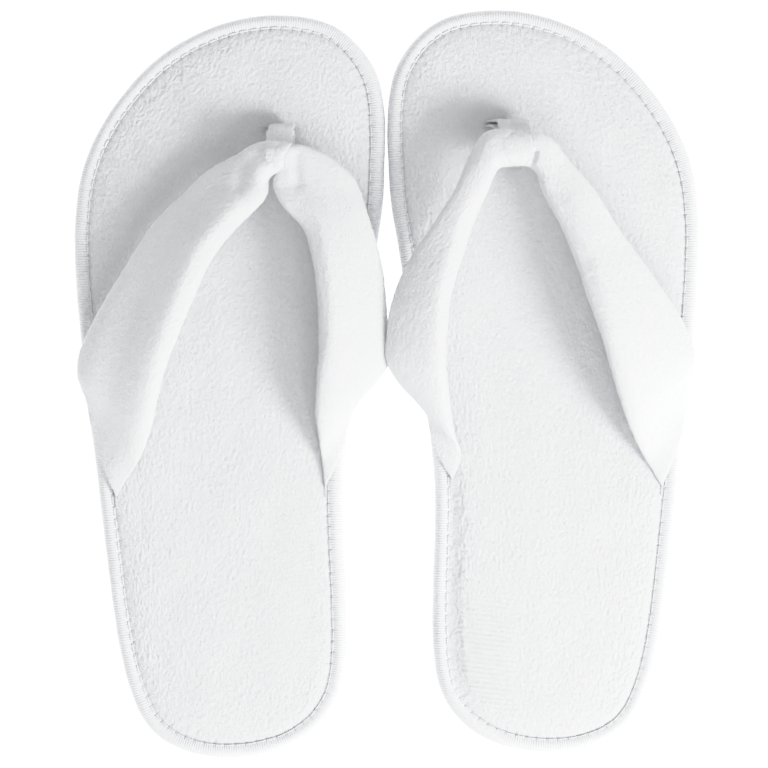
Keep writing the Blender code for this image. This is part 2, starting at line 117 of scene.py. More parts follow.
# Each arm above the sole, at stations towards the toes: ridge edge, outer edge and padded thickness
ARMS = {
    "right": {
        "outer": [
            ((37.9, -30.3, 12), (51.9, -2, 11.5), 3.5),
            ((32.3, -21.9, 18), (53, 4.9, 13.5), 6.0),
            ((27, -11, 25.5), (53, 11.7, 15), 8.0),
            ((22.7, 1.6, 31), (50.9, 18.6, 15.8), 9.0),
            ((18.9, 14.7, 34), (45.8, 28, 16.7), 9.5),
            ((13.9, 29.3, 34.5), (36.3, 42, 18), 9.5),
            ((9.4, 43.5, 33), (26.4, 54.9, 19.5), 9.0),
            ((3.4, 57.5, 31), (15.8, 71.3, 21.5), 8.5),
            ((-1.5, 68, 29), (6.4, 81.3, 23.5), 8.5),
            ((-4.3, 75.5, 27.3), (-0.6, 89, 25.2), 10.5),
            ((-6.4, 77.6, 26.6), (-5.6, 90.6, 25.8), 11.6),
            ((-9.5, 78.6, 26), (-9.5, 90, 26), 9.0),
        ],
        "inner": [
            ((-31.2, -27, 12.5), (-44.1, -8.9, 12), 3.5),
            ((-33.2, -17.5, 18.5), (-50.6, -0.2, 14.2), 6.0),
            ((-35, -6.3, 24.8), (-56.2, 7.4, 16.2), 8.0),
            ((-36, 5.1, 29), (-57.8, 12.1, 18.6), 9.0),
            ((-36, 17.6, 31.2), (-56.6, 24.3, 20.4), 9.5),
            ((-34.4, 32.1, 31.6), (-53.2, 37, 21.4), 9.5),
            ((-30.7, 45, 31.2), (-47.8, 47.8, 22.8), 9.5),
            ((-26.2, 57.9, 30.4), (-39.5, 60.7, 26.2), 9.5),
            ((-22.2, 67.6, 29.8), (-32, 73.5, 27.6), 9.5),
            ((-20, 73.5, 28.6), (-28, 82, 27.2), 10.0),
            ((-17.6, 77.6, 27.3), (-22.6, 90.2, 25.6), 11.5),
            ((-14.6, 78.2, 26.6), (-15.6, 91.4, 25.8), 12.2),
            ((-11, 79, 26), (-11, 90.6, 26), 9.0),
        ],
    },
    "left": {
        "outer": [
            ((37.3, -31.4, 12), (52.6, -1.5, 11.5), 3.5),
            ((32, -24.1, 18), (54.3, 3.6, 13.5), 6.0),
            ((27.8, -14.7, 25), (54.5, 8.3, 15), 8.0),
            ((24.3, -2.5, 30.5), (53.4, 15.2, 15.5), 9.0),
            ((20.7, 9.6, 33.3), (49.9, 23.1, 16.3), 9.5),
            ((17, 18.7, 34.3), (44.3, 33.5, 17), 9.5),
            ((11.4, 31.8, 35), (36.5, 46, 17.5), 9.5),
            ((4.2, 47, 34), (27.6, 59.2, 18), 9.5),
            ((-4.4, 57.3, 32), (16.6, 70.5, 19), 9.0),
            ((-11.6, 65.1, 30), (5.9, 79.3, 20.5), 9.0),
            ((-14.6, 69.5, 28.8), (-4.2, 84.4, 22.6), 9.0),
            ((-15.4, 74.6, 27.8), (-12, 88.4, 25), 10.8),
            ((-17.6, 76.8, 26.8), (-18.2, 88.8, 25.8), 12.0),
            ((-21, 77.6, 26), (-21.4, 88, 26), 9.0),
        ],
        "inner": [
            ((-33.1, -26.6, 12), (-45.8, -3.6, 12), 3.5),
            ((-32.1, -18.5, 18), (-51.6, 2.2, 14), 6.0),
            ((-31.8, -8.3, 25), (-57, 9.3, 15.5), 8.0),
            ((-32.5, 4.9, 29.5), (-57.6, 15.8, 16), 9.0),
            ((-32.9, 18.1, 31), (-57.3, 28.8, 17), 9.5),
            ((-32.5, 31.6, 32), (-56.2, 42.5, 18), 9.5),
            ((-31, 45.2, 31.8), (-54.2, 52.2, 19.3), 9.5),
            ((-27.5, 57.4, 30), (-51.4, 62.3, 20.3), 9.5),
            ((-20, 66.0, 27.8), (-48.3, 71.3, 21), 9.5),
            ((-17.6, 71.0, 26.4), (-44.8, 77.5, 22), 9.5),
            ((-17.2, 74.6, 26.2), (-35.5, 84.6, 23.5), 9.5),
            ((-17.4, 77.2, 26.2), (-27.5, 87.4, 25), 9.3),
            ((-16, 78.6, 26.2), (-19.5, 87.4, 26), 8.8),
        ],
    },
}
SECTION_SQUARENESS = 2.5
CAMBER = 0.012  # how far the face of an arm bows out, as a part of its width
ROLL_AT, ROLL_REACH, ROLL_HEIGHT = 4.4, 4.2, 0.6  # the padded roll along a ridge edge
# The arm that has a roll: the place, reach and depth of the furrow beside it
ROLLED = {("left", "outer"): (19.0, 8.0, 1.7)}
FILLING_SHRINK, FILLING_STEP, FILLING_AROUND = 2.7, 4.0, 28  # the foam inside: its clearance and its mesh
FILLING_TRIM = 4  # how many of its rings from the root it begins. It ends one ring short of the arm's end

# The cloth simulation of an arm's cover, at ten times its size
SIM_UNIT = 0.01
SIM_COARSER = 3  # of the fine mesh's points, one in this many each way
# How far from its root and from its end the cover is held, and where it is quite free
SIM_ROOT, SIM_END = (6.0, 40.0), (10.0, 34.0)
SIM_FRAMES = 14
SIM_CLOTH = {
    "quality": 6, "mass": 0.2, "tension_stiffness": 8, "compression_stiffness": 4, "bending_stiffness": 0.3,
    "shrink_min": -0.01, "shrink_max": -0.01, "use_pressure": True, "uniform_pressure_force": 1.0,
}
SIM_CAP = 0.9  # how far a point may move

# Creases pressed into the arms: their run, seen from above, then reach and depth
CREASES = {
    ("left", "outer"): [([(-13.5, 86), (-10.2, 82.1), (-6.6, 79), (-5.6, 72)], 2.8, 1.1)],
    ("left", "inner"): [([(-25.6, 83), (-25.8, 78.5), (-26.2, 73.5)], 2.1, 1.1)],
    ("right", "outer"): [([(-4.9, 83), (-6.4, 77)], 1.0, 1.9), ([(0.5, 70), (5, 66)], 1.6, 0.5)],
    ("right", "inner"): [([(-27, 80), (-24, 87)], 2.0, 0.5)],
}

# The toe loop, seen from the side as along the foot and up: its path from the slot up the front of the post,
# round the arms and down the back of the post
LOOP_PATH = [
    (95.4, 5.0), (95.5, 9.0), (95.5, 14.0), (95.0, 18.2), (92.9, 20.6), (91.2, 23.2), (91.0, 27.0),
    (88.6, 30.9), (84.6, 31.9), (80.6, 31.2), (77.9, 28.0), (77.7, 24.2), (80.2, 20.9), (85.6, 20.0),
    (90.6, 18.4), (93.6, 14.5), (93.9, 9.0), (93.9, 5.0),
]
LOOP_THICKNESS, POST_THICKNESS = 1.5, 0.9
LOOP_REAR, LOOP_FRONT = 76.75, 92.35  # the outside of that path's loop
# Each loop: where its post and its band begin and end across the foot, how far the band's cut ends are
# shifted at its rear, where the band begins and ends along the foot, and how much its rim is frayed
LOOPS = {
    "right": {
        "post": (-19.4, -5.4), "band": (-17.6, -6.0), "bias": (0.0, 0.0),
        "rear": 78.3, "front": 91.2, "fray": 0.12,
    },
    "left": {
        "post": (-26.0, -17.6), "band": (-24.6, -14.6), "bias": (6.6, 0.0),
        "rear": 76.9, "front": 88.8, "fray": 0.45,
    },
}
LOOP_RINGS, LOOP_AROUND = 150, 56
POST_FOOT = (-22.0, -14.0)  # where the post goes into its slot, across the foot
SLOT_PLACE, SLOT_REACH, SLOT_DEPTH = 94.2, (6.2, 2.9), 1.7  # the dent that the post makes in the insole

# The tacks: a zigzag of thread behind each arm's rear corner
TACK_INSET, TACK_BACK, TACK_LENGTH, TACK_HEIGHT = 6.2, 1.5, 4.5, 9.85
TACK_PASSES, TACK_SWING = 5, 0.45

# How fine the meshes are, in millimetres
OUTSOLE_STEP = 1.0
CLOTH_STEP = 0.56
ARM_STEP = 0.56
ARM_AROUND = 132

SCATTER = 0.0016  # how far light wanders inside the fleece, in metres

# The studio, in metres and degrees
FLOOR_HALF, FLOOR_DROP = 6.0, 0.0006
FLOOR_COLOUR, FLOOR_GLOW = 0.55, 1.22
LAMPS = {  # azimuth, elevation, distance, size and power: a key low on the right, a fill from above the heels
    "key": (-30, 36, 1.0, 0.39, 6.95),
    "heel_fill": (-74, 47, 1.2, 0.72, 4.4),
}
ROOM_COLOUR, ROOM_LIGHT = (0.98, 0.99, 1.0, 1), 0.605
LENS, CAMERA_HEIGHT, CAMERA_ASIDE = 141.6, 1.108, -0.0011
TONE_TOP = 1.42  # the light that is shown as white
TONES = [(0.4, 0.4), (0.8, 0.8), (1.0, 0.893), (1.2, 0.943)]  # how bright a light is shown


# Noise


def lattice(u, v, seed):
    """Smooth noise from about -1 to 1 over a plane, with one bump to a unit square."""
    column, row = np.floor(u).astype(np.int64), np.floor(v).astype(np.int64)
    part_u, part_v = u - column, v - row
    weight_u, weight_v = (p * p * p * (p * (p * 6 - 15) + 10) for p in (part_u, part_v))

    def pull(i, j):
        """What the random slope at one corner of the unit square gives at the point."""
        mixed = ((column + i) * 73856093) ^ ((row + j) * 19349663) ^ (seed * 83492791)
        mixed = ((mixed ^ (mixed >> 13)) * 1274126177) & 0x7FFFFFFF
        mixed = ((mixed ^ (mixed >> 15)) * 461845907) & 0x7FFFFFFF
        turn = mixed / 0x7FFFFFFF * 2 * math.pi
        return np.cos(turn) * (part_u - i) + np.sin(turn) * (part_v - j)

    near = pull(0, 0) * (1 - weight_u) + pull(1, 0) * weight_u
    far = pull(0, 1) * (1 - weight_u) + pull(1, 1) * weight_u
    return 1.5 * (near * (1 - weight_v) + far * weight_v)


def fleece(u, v, seed):
    """How far the nap stands out over a plane of cloth whose pile runs along v: short wavy ruffles."""
    sway = 0.9 * lattice(u / 7, v / 7, seed)
    ruffle = lattice(u / 1.3 + sway, v / 2.0 + 0.7 * sway, seed + 1)
    tufts = lattice(u / 0.95 - 0.6 * sway, v / 1.15 + sway, seed + 2)
    return 0.11 * ruffle + 0.29 * tufts


def soft_step(value, low, high):
    """0 below low, 1 above high, and a smooth rise between them."""
    t = np.clip((value - low) / (high - low), 0, 1)
    return t * t * (3 - 2 * t)


# Curves


def hermite(start, leave, end, arrive, t):
    """The points at t on cubics between pairs of points with the given speeds."""
    return (
        start * (2 * t**3 - 3 * t**2 + 1)
        + leave * (t**3 - 2 * t**2 + t)
        + end * (3 * t**2 - 2 * t**3)
        + arrive * (t**3 - t**2)
    )


def closed_curve(points, steps):
    """A smooth closed curve through the points, with its pace set by the distance between them."""
    points = np.array(points, float)
    before, start, end, after = (np.roll(points, -k, axis=0) for k in (-1, 0, 1, 2))
    spans = ((before, start), (start, end), (end, after))
    paces = [np.sqrt(np.linalg.norm(b - a, axis=1))[:, None] for a, b in spans]
    leave = (start - before) / paces[0] - (end - before) / (paces[0] + paces[1])
    leave = (leave + (end - start) / paces[1]) * paces[1]
    arrive = (end - start) / paces[1] - (after - start) / (paces[1] + paces[2])
    arrive = (arrive + (after - end) / paces[2]) * paces[1]
    t = (np.arange(steps) / steps)[None, :, None]
    spots = hermite(start[:, None], leave[:, None], end[:, None], arrive[:, None], t)
    return spots.reshape(-1, points.shape[1])


def open_curve(rows, knots, stops):
    """Rows of values read off smooth curves through the given rows at the knots."""
    speed = np.gradient(rows, knots, axis=0)
    index = np.clip(np.searchsorted(knots, stops, side="right") - 1, 0, len(knots) - 2)
    gap = (knots[index + 1] - knots[index])[:, None]
    t = (stops - knots[index])[:, None] / gap
    return hermite(rows[index], speed[index] * gap, rows[index + 1], speed[index + 1] * gap, t)


def walked_along(curve):
    """The distance walked along a curve at each of its points."""
    return np.concatenate([[0], np.cumsum(np.linalg.norm(np.diff(curve, axis=0), axis=1))])


def evenly_spaced(curve, count, closed=True):
    """The curve again as this many points, the same distance apart."""
    if closed:
        curve = np.vstack([curve, curve[:1]])
    walked = walked_along(curve)
    stops = np.linspace(0, walked[-1], count, endpoint=not closed)
    return np.stack([np.interp(stops, walked, curve[:, k]) for k in range(curve.shape[1])], axis=1)


def inward(ring):
    """Unit vectors that point into a closed clockwise ring."""
    along = np.roll(ring, -1, axis=0) - np.roll(ring, 1, axis=0)
    along /= np.linalg.norm(along, axis=1)[:, None]
    return np.stack([along[:, 1], -along[:, 0]], axis=1)


OUTLINE = closed_curve(SOLE_OUTLINE, 60)
RIM_LENGTH = walked_along(np.vstack([OUTLINE, OUTLINE[:1]]))[-1]
STITCHES = round(RIM_LENGTH / STITCH_PITCH)


def rim_points(count, inset):
    """Points round the sole, this far in from its edge."""
    ring = evenly_spaced(OUTLINE, count)
    return ring + inward(ring) * inset


def rim_point(side, along, inset, height):
    """The point this far along the foot on one side of the sole, inset from its edge."""
    ring = rim_points(1200, inset)
    ring = ring[ring[:, 0] * side > 0]
    nearest = ring[np.argmin(np.abs(ring[:, 1] - along))]
    return np.array([nearest[0], along, height])


def needle(round_the_rim):
    """1 at the holes of the edge's stitching and 0 between them. The rim is 0 to 1 round."""
    phase = np.abs((round_the_rim * STITCHES) % 1 - 0.5) * STITCH_PITCH
    return np.exp(-((phase / 0.5) ** 2))


# Making pieces


def grid_faces(rows, columns, closed):
    """Quads between neighbouring rows of points, which close on themselves if asked."""
    last = columns if closed else columns - 1
    row, column = np.meshgrid(np.arange(rows - 1), np.arange(last), indexing="ij")
    here, there = row * columns, (row + 1) * columns
    after = (column + 1) % columns
    return np.stack([f.ravel() for f in (here + column, here + after, there + after, there + column)], axis=1)


class Slipper:
    """One slipper's place, and how a piece made in millimetres is put there."""

    def __init__(self, side):
        self.side = side
        self.body = side + "_slipper"
        self.mirror = SIDES[side]["mirror"]
        self.seed = SIDES[side]["seed"]
        turn = math.radians(SIDES[side]["turn"])
        self.turn = np.array([[math.cos(turn), -math.sin(turn)], [math.sin(turn), math.cos(turn)]])
        low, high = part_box(side + "_edge_binding")
        shaped = self.turned(OUTLINE)
        middle = (shaped.min(axis=0) + shaped.max(axis=0)) / 2
        self.centre = np.array([low.x + high.x, low.y + high.y]) / 2 / MM - middle

    def turned(self, points):
        """Points seen from above, mirrored and turned as the slipper lies."""
        return (points * (self.mirror, 1)) @ self.turn.T

    def placed(self, points):
        """Points of the slipper's own frame, in millimetres, as points of the pair in metres."""
        flat = self.turned(points[:, :2]) + self.centre
        return np.column_stack([flat, points[:, 2]]) * MM

    def piece(self, name, points, faces, material, slot, replaced, nap=None):
        """A smooth mesh that stands for CAD nodes of this slipper. Its nap moves each point out."""
        mesh = bpy.data.meshes.new(name)
        mesh.from_pydata(self.placed(points).tolist(), [], [list(map(int, face)) for face in faces])
        face_outwards(mesh)
        if nap is not None:
            raise_nap(mesh, nap)
        mesh.shade_smooth()
        mesh.materials.append(material)
        made = bpy.data.objects.new(f"{self.side}_{name}", mesh)
        bpy.context.scene.collection.objects.link(made)
        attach(made, self.body)
        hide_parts(*(f"{self.side}_{node}" for node in replaced))
        return made


def face_outwards(mesh):
    """Turn every face of a closed mesh to its outside."""
    shape = bmesh.new()
    shape.from_mesh(mesh)
    bmesh.ops.recalc_face_normals(shape, faces=shape.faces)
    shape.to_mesh(mesh)
    shape.free()


def raise_nap(mesh, heights):
    """Move each point of a mesh out along its normal by a height in millimetres."""
    count = len(mesh.vertices)
    places, normals = np.zeros(count * 3, np.float32), np.zeros(count * 3, np.float32)
    mesh.vertices.foreach_get("co", places)
    mesh.vertices.foreach_get("normal", normals)
    places += normals * np.repeat(heights * MM, 3)
    mesh.vertices.foreach_set("co", places)
    mesh.update()


def tube(path, radius, sides, closed):
    """Points and faces of a round tube along a path."""
    ahead = np.roll(path, -1, axis=0) - np.roll(path, 1, axis=0)
    if not closed:
        ahead[0], ahead[-1] = path[1] - path[0], path[-1] - path[-2]
    ahead /= np.linalg.norm(ahead, axis=1)[:, None]
    sideways = np.cross(ahead, (0.0, 0.0, 1.0))
    sideways /= np.linalg.norm(sideways, axis=1)[:, None] + 1e-9
    up = np.cross(sideways, ahead)
    turns = np.arange(sides) / sides * 2 * math.pi
    ring = sideways[:, None] * np.cos(turns)[None, :, None] + up[:, None] * np.sin(turns)[None, :, None]
    points = (path[:, None] + ring * radius).reshape(-1, 3)
    faces = grid_faces(len(path) + closed, sides, True)[:, ::-1] % len(points)
    faces = [list(face) for face in faces]
    if not closed:
        faces += [list(range(sides)), list(range(len(points) - sides, len(points)))[::-1]]
    return points, faces


# The sole


class SoleGrid:
    """A sheet of quads over the sole: rings that follow its rim, then a patch inside the innermost ring."""

    def __init__(self, insets, step):
        across = 2 * round(RIM_LENGTH * PATCH_END / 2 / step)
        along = round(RIM_LENGTH * PATCH_SIDE / step)
        self.count = 2 * (across + along)
        self.insets = insets
        rings = [rim_points(self.count, inset) for inset in insets]
        edge = rings[-1]
        top = (np.arange(across + 1) - across // 2) % self.count
        outer = (np.arange(along + 1) + across // 2) % self.count
        bottom = (across // 2 + along + across - np.arange(across + 1)) % self.count
        inner = (-across // 2 - np.arange(along + 1)) % self.count
        u = np.linspace(0, 1, across + 1)[None, :, None]
        v = np.linspace(0, 1, along + 1)[:, None, None]
        patch = (1 - v) * edge[top][None] + v * edge[bottom][None]
        patch = patch + (1 - u) * edge[inner][:, None] + u * edge[outer][:, None]
        patch -= (1 - u) * (1 - v) * edge[top[0]] + u * (1 - v) * edge[top[-1]]
        patch -= (1 - u) * v * edge[bottom[0]] + u * v * edge[bottom[-1]]
        base = (len(rings) - 1) * self.count
        index = np.full((along + 1, across + 1), -1)
        index[0], index[-1], index[:, 0], index[:, -1] = base + top, base + bottom, base + inner, base + outer
        within = np.arange((along - 1) * (across - 1)).reshape(along - 1, across - 1)
        index[1:-1, 1:-1] = base + self.count + within
        self.plan = np.vstack([*rings, patch[1:-1, 1:-1].reshape(-1, 2)])
        strips = grid_faces(len(rings), self.count, True)
        quads = np.stack([index[:-1, :-1], index[:-1, 1:], index[1:, 1:], index[1:, :-1]], axis=-1)
        self.faces = [list(face) for face in strips] + [list(face) for face in quads.reshape(-1, 4)]
        self.from_rim = self.distances(len(rings) * self.count)
        self.round_the_rim = np.zeros(len(self.plan))
        self.round_the_rim[: base + self.count] = np.tile(np.arange(self.count) / self.count, len(rings))

    def distances(self, ringed):
        """How far each point is from the sole's edge."""
        edge = evenly_spaced(OUTLINE, 900)
        tree = KDTree(len(edge))
        for i, (x, y) in enumerate(edge):
            tree.insert((x, y, 0), i)
        tree.balance()
        inside = [tree.find((x, y, 0))[2] for x, y in self.plan[ringed:]]
        return np.concatenate([np.repeat(self.insets, self.count), inside])

    def closed(self, heights, profile):
        """Points and faces of a solid: the sheet at its heights, then rings on the other side and a cap."""
        flat = np.vstack([self.plan, *(rim_points(self.count, inset) for inset, height in profile)])
        heights = np.concatenate([heights, *(np.full(self.count, height) for inset, height in profile)])
        points = np.column_stack([flat, heights])
        first = len(self.plan)
        seam = np.arange(self.count)
        after = (seam + 1) % self.count
        sides = np.stack([after, first + after, first + seam, seam], axis=1)
        belt = grid_faces(len(profile), self.count, True)[:, ::-1] + first
        cap = list(range(len(points) - self.count, len(points)))
        return points, self.faces + [list(face) for face in np.vstack([sides, belt])] + [cap]


def insole_dent(x, y):
    """How far the insole is pressed down where the post goes into it."""
    from_slot = (x - sum(POST_FOOT) / 2) / SLOT_REACH[0]
    return SLOT_DEPTH * np.exp(-(from_slot**4) - ((y - SLOT_PLACE) / SLOT_REACH[1]) ** 2)


def bare_knit(x, y, from_rim, slipper):
    """1 where the pile by the inner side of the heel is worn down to the knit, and 0 where it is full."""
    if slipper.side == "right":
        along = soft_step(y, -124, -112) * soft_step(-y, 62, 90)
        return soft_step(-x, 6, 20) * soft_step(from_rim, 8, 11) * along
    along = soft_step(y, -112, -95) * soft_step(-y, 24, 50)
    return soft_step(-x, 2, 22) * soft_step(from_rim, 7, 12) * along


def insole_relief(x, y, from_rim, slipper):
    """The soft unevenness of the insole: slack cloth, a wrinkled inner edge and knitted ribs at the heel."""
    seed = slipper.seed
    slack = 0.42 * lattice(x / 21, y / 27, seed + 5) + 0.17 * lattice(x / 9, y / 13, seed + 6)
    by_the_rim = np.exp(-((from_rim - 9) / 5) ** 2)
    puckers = 0.16 * by_the_rim * lattice(x / 3.2, y / 3.2, seed + 7)
    wrinkles = 0
    if slipper.side == "right":
        edge = soft_step(-x, 5, 20) * soft_step(-y, 24, 36) * soft_step(y, -124, -108)
        fringe = np.exp(-(((from_rim - 12.0) / 2.3) ** 2))
        wrinkles = 0.38 * fringe * lattice(x / 4.5, y / 1.0, seed + 9)
        wrinkles = edge * (wrinkles - 0.75 * (1 - soft_step(from_rim, 7.0, 11.5)))
    ribs = KNIT_DEPTH[slipper.side] * np.sin(2 * math.pi * (y + 0.12 * x) / RIB_OF_KNIT)
    ribs = ribs * bare_knit(x, y, from_rim, slipper)
    return slack * soft_step(from_rim, 6, 16) + puckers + wrinkles * soft_step(from_rim, 5.2, 6.5) + ribs


def make_insole(slipper, material):
    """The fleece insole: crowned over the foam, tucked under the tape and pulled down at each stitch."""
    grid = SoleGrid(INSOLE_RINGS, CLOTH_STEP)
    x, y = grid.plan.T
    z = np.interp(grid.from_rim, *np.array(INSOLE_RISE).T)
    z -= PUCKER_DEPTH * needle(grid.round_the_rim) * np.exp(-(((grid.from_rim - 5.8) / 0.5) ** 2))
    z += insole_relief(x, y, grid.from_rim, slipper) - insole_dent(x, y)
    nap = fleece(x, y, slipper.seed + 20) * soft_step(grid.from_rim, 5.2, 7.2)
    nap *= 1 - 0.75 * bare_knit(x, y, grid.from_rim, slipper)
    points, faces = grid.closed(z, INSOLE_UNDER)
    nap = np.concatenate([nap, np.zeros(len(points) - len(nap))])
    made = slipper.piece("insole", points, faces, material, "fleece", ["insole_cover"], nap)


def tread_pattern(x, y, from_rim):
    """How deep the sole's underside is pressed in: wavy grooves, and a plain border."""
    wave = y + 2.2 * np.sin(2 * math.pi * x / 17)
    groove = np.exp(-(((wave / TREAD_PITCH) % 1 - 0.5) / 0.13) ** 2)
    border = np.exp(-(((from_rim - 10.5) / 0.7) ** 2))
    return TREAD_DEPTH * np.maximum(groove * soft_step(from_rim, 11, 12), border)


def make_outsole(slipper, material):
    """The EVA sole: its tread stands below the rim that the tape wraps."""
    grid = SoleGrid(OUTSOLE_RINGS, OUTSOLE_STEP)
    z = np.interp(grid.from_rim, *np.array(TREAD_PROFILE).T)
    z += tread_pattern(*grid.plan.T, grid.from_rim)
    points, faces = grid.closed(z, OUTSOLE_TOP)
    faces = [face[::-1] for face in faces]
    slipper.piece("sole", points, faces, material, "eva_sole", ["outsole"])


def make_tape(slipper, material):
    """The folded binding: one section carried round the rim, ribbed across and pulled in at the stitches."""
    count = RIB_SAMPLES * round(RIM_LENGTH / RIB_PITCH)
    ring = evenly_spaced(OUTLINE, count)
    towards = inward(ring)
    section = np.array(TAPE_SECTION)
    edge = np.roll(section, -1, axis=0) - np.roll(section, 1, axis=0)
    facing = np.stack([edge[:, 1], -edge[:, 0]], axis=1) / np.linalg.norm(edge, axis=1)[:, None]
    place = walked_along(section)
    ribbed = (np.arange(len(section)) < TAPE_OUTER_POINTS).astype(float)
    at = np.arange(count) / count
    slant = 0.10 * lattice(at * 23, at * 0 + 0.5, slipper.seed + 30)
    phase = at[:, None] * count / RIB_SAMPLES + slant[:, None] * place[None, :]
    ribs = RIB_DEPTH * (np.abs(np.sin(math.pi * phase)) ** 0.6 - 0.7) * ribbed[None, :]
    uneven = 0.16 * lattice(at[:, None] * RIM_LENGTH / 11, place[None, :] / 4, slipper.seed + 31)
    out = ribs + uneven * ribbed[None, :]
    inset = section[None, :, 0] + facing[None, :, 0] * out
    height = section[None, :, 1] + facing[None, :, 1] * out
    lip = np.exp(-(((section[:, 0] - 5.7) / 0.85) ** 2)) * (section[:, 1] > 6)
    pull = needle(at)[:, None] * lip[None, :]
    inset, height = inset - 0.25 * pull, height - 0.35 * pull
    flat = ring[:, None] + towards[:, None] * inset[..., None]
    points = np.concatenate([flat, height[..., None]], axis=-1).reshape(-1, 3)
    faces = grid_faces(count + 1, len(section), True) % len(points)
    slipper.piece("tape", points, faces[:, ::-1], material, "binding_tape", ["edge_binding"])


def make_stitching(slipper, material):
    """The lockstitch near the tape's upper lip: one thread that dips into each needle hole."""
    count = STITCHES * 10
    at = np.arange(count) / count
    dip = needle(at)
    sway = 0.12 * lattice(at * STITCHES / 2.5, at * 0 + 0.5, slipper.seed + 40)
    ring = evenly_spaced(OUTLINE, count)
    flat = ring + inward(ring) * (STITCH_INSET + sway + 0.1 * dip)[:, None]
    path = np.column_stack([flat, STITCH_HEIGHT + THREAD_RADIUS * 0.5 - 1.1 * dip])
    points, faces = tube(path, THREAD_RADIUS, 8, True)
    slipper.piece("lockstitch", points, faces, material, "thread", ["edge_stitching"])


# The strap


def arm_rows(side, arm):
    """Ridge edge, outer edge and thickness along a whole arm, from its root to its end in the toe loop."""
    back, front = ROOTS[side, arm]
    rows = [
        np.concatenate(
            [
                rim_point(ARM_SIDES[arm], back, ridge_inset, height),
                rim_point(ARM_SIDES[arm], front, outer_inset, height),
                [thickness],
            ]
        )
        for ridge_inset, outer_inset, height, thickness in ROOT_STEPS
    ]
    rows += [np.concatenate([ridge, outer, [thickness]]) for ridge, outer, thickness in ARMS[side][arm]]
    return np.array(rows, float)


def smooth_arm(side, arm, step):
    """The arm's rows again, close together along its middle, and how far along it each is."""
    rows = arm_rows(side, arm)
    middles = (rows[:, :3] + rows[:, 3:6]) / 2
    knots = np.concatenate([[0], np.cumsum(np.linalg.norm(np.diff(middles, axis=0), axis=1) ** 0.8)])
    fine = open_curve(rows, knots, np.linspace(0, knots[-1], 600))
    walked = walked_along((fine[:, :3] + fine[:, 3:6]) / 2)
    stops = np.linspace(0, walked[-1], round(walked[-1] / step) + 1)
    even = np.stack([np.interp(stops, walked, fine[:, k]) for k in range(7)], axis=1)
    return even, stops


def rounded(value, power):
    """A power of the value's size with its sign kept, which squares off a circle's sine or cosine."""
    return np.sign(value) * np.abs(value) ** power


def arm_section(width, thickness, around, rolled):
    """A padded section, with a roll along its ridge edge if asked, as even points from its underside."""
    turns = np.linspace(-0.5 * math.pi, 1.5 * math.pi, 241)
    a = rounded(np.cos(turns), 2 / SECTION_SQUARENESS) * width / 2
    b = rounded(np.sin(turns), 2 / SECTION_SQUARENESS) * thickness / 2
    wide = np.clip((width - 12) / 14, 0, 1)
    on_top = np.clip(b / thickness * 2, 0, 1)
    from_ridge = a + width / 2
    if rolled:
        place, reach, depth = rolled
        b = b + wide * ROLL_HEIGHT * on_top * np.exp(-(((from_ridge - ROLL_AT) / ROLL_REACH) ** 2))
        b = b - wide * depth * on_top * np.exp(-(((from_ridge - place) / reach) ** 2))
    b = b + CAMBER * width * wide * (1 - (2 * a / width) ** 2)
    return evenly_spaced(np.column_stack([a, b])[:-1], around)


def arm_grid(rows, stops, side_sign, around, rolled, shrink=0.0):
    """Rings of points along an arm, as an array of rings by points by coordinates."""
    ridge, outer, thickness = rows[:, :3], rows[:, 3:6], rows[:, 6]
    middle = (ridge + outer) / 2
    ahead = np.gradient(middle, axis=0)
    across = outer - ridge
    width = np.linalg.norm(across, axis=1)
    across /= width[:, None]
    up = np.cross(across, ahead) * side_sign
    up /= np.linalg.norm(up, axis=1)[:, None]
    level = np.array([[0.0, 0.0, 1.0]]) - across * across[:, 2:]
    level /= np.linalg.norm(level, axis=1)[:, None]
    turned = soft_step(stops, ROOT_FLAT, ROOT_TURNED)[:, None]
    up = up * turned + level * (1 - turned)
    up /= np.linalg.norm(up, axis=1)[:, None]
    bow = ROOT_BOW * side_sign * soft_step(stops, 2, 5) * (1 - soft_step(stops, 8, 26))
    rings = []
    for k in range(len(rows)):
        flat = arm_section(width[k] - 2 * shrink, max(thickness[k] - 2 * shrink, 0.6), around, rolled)
        ring = middle[k] + across[k] * flat[:, :1] + up[k] * flat[:, 1:]
        ring[:, 0] += bow[k] * (1 - (2 * flat[:, 0] / width[k]) ** 2)
        rings.append(ring)
    return np.array(rings)


